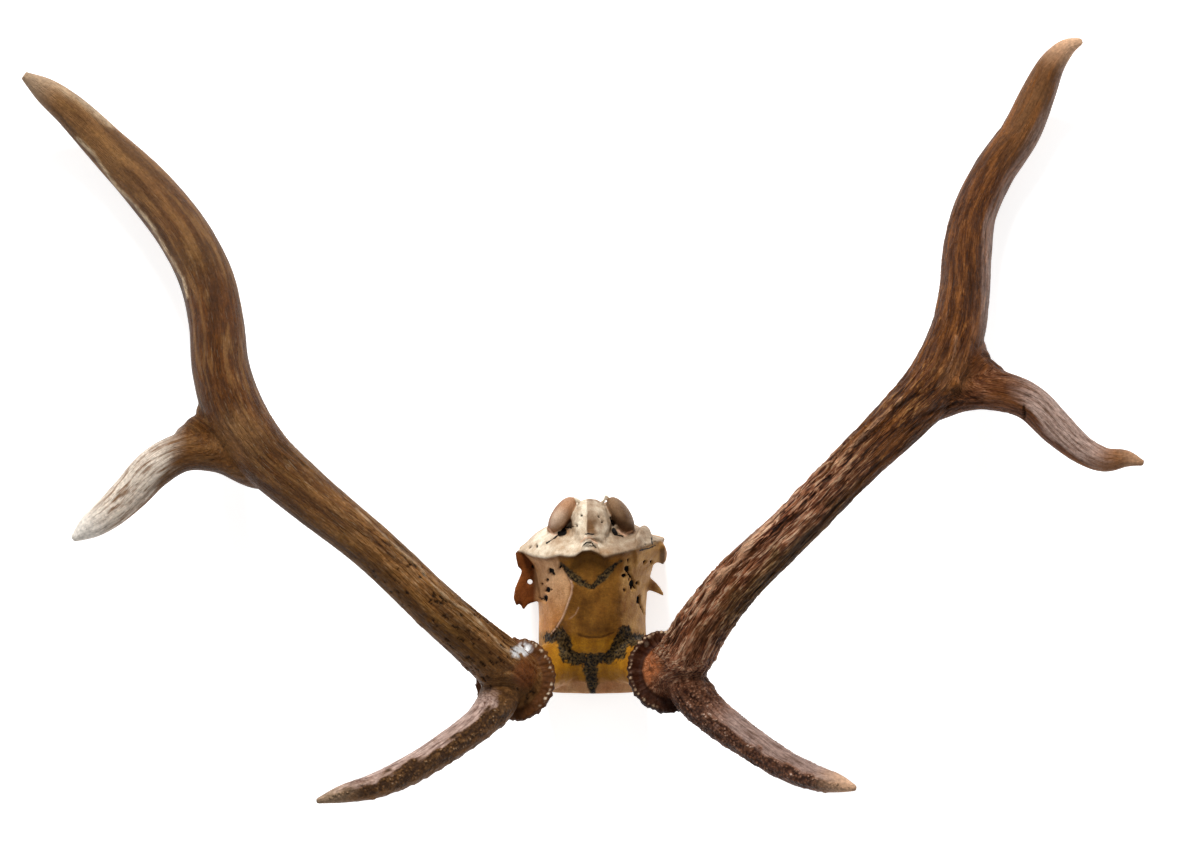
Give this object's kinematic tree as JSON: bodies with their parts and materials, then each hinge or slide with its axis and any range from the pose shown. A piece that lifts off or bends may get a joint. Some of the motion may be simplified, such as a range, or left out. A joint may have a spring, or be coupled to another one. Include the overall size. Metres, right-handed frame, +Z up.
{
  "type": "deer antlers on a skull cap",
  "caption": "Pair of curved, branching deer antlers with rough burrs, grown on a sawn bone skull cap; a display trophy or prop.",
  "frame": {"origin": "centre of the bounding box in X and Y, on the plane of the sawn skull base, which is the surface the rack lies on", "axes": "+X toward the right of the picture, which is where the nodes named right_ are, +Y toward the back of the head, which is up in the picture, +Z up, out of the top of the skull"},
  "size_m": [0.9986, 0.6662, 0.2393],
  "materials": {
    "skull_bone": "old varnished bone, ochre, paler at the back of the head",
    "brown_antler": "olive brown antler with fine ridges, semi-gloss",
    "red_antler": "red brown antler with deep ridges, semi-gloss"
  },
  "bodies": {
    "root": {"skull": "skull_bone", "left_beam": "brown_antler", "left_brow_tine": "brown_antler", "left_side_tine": "brown_antler", "left_top_tine": "brown_antler", "right_beam": "red_antler", "right_brow_tine": "red_antler", "right_side_tine": "red_antler", "right_top_tine": "red_antler"}
  },
  "joints": []
}
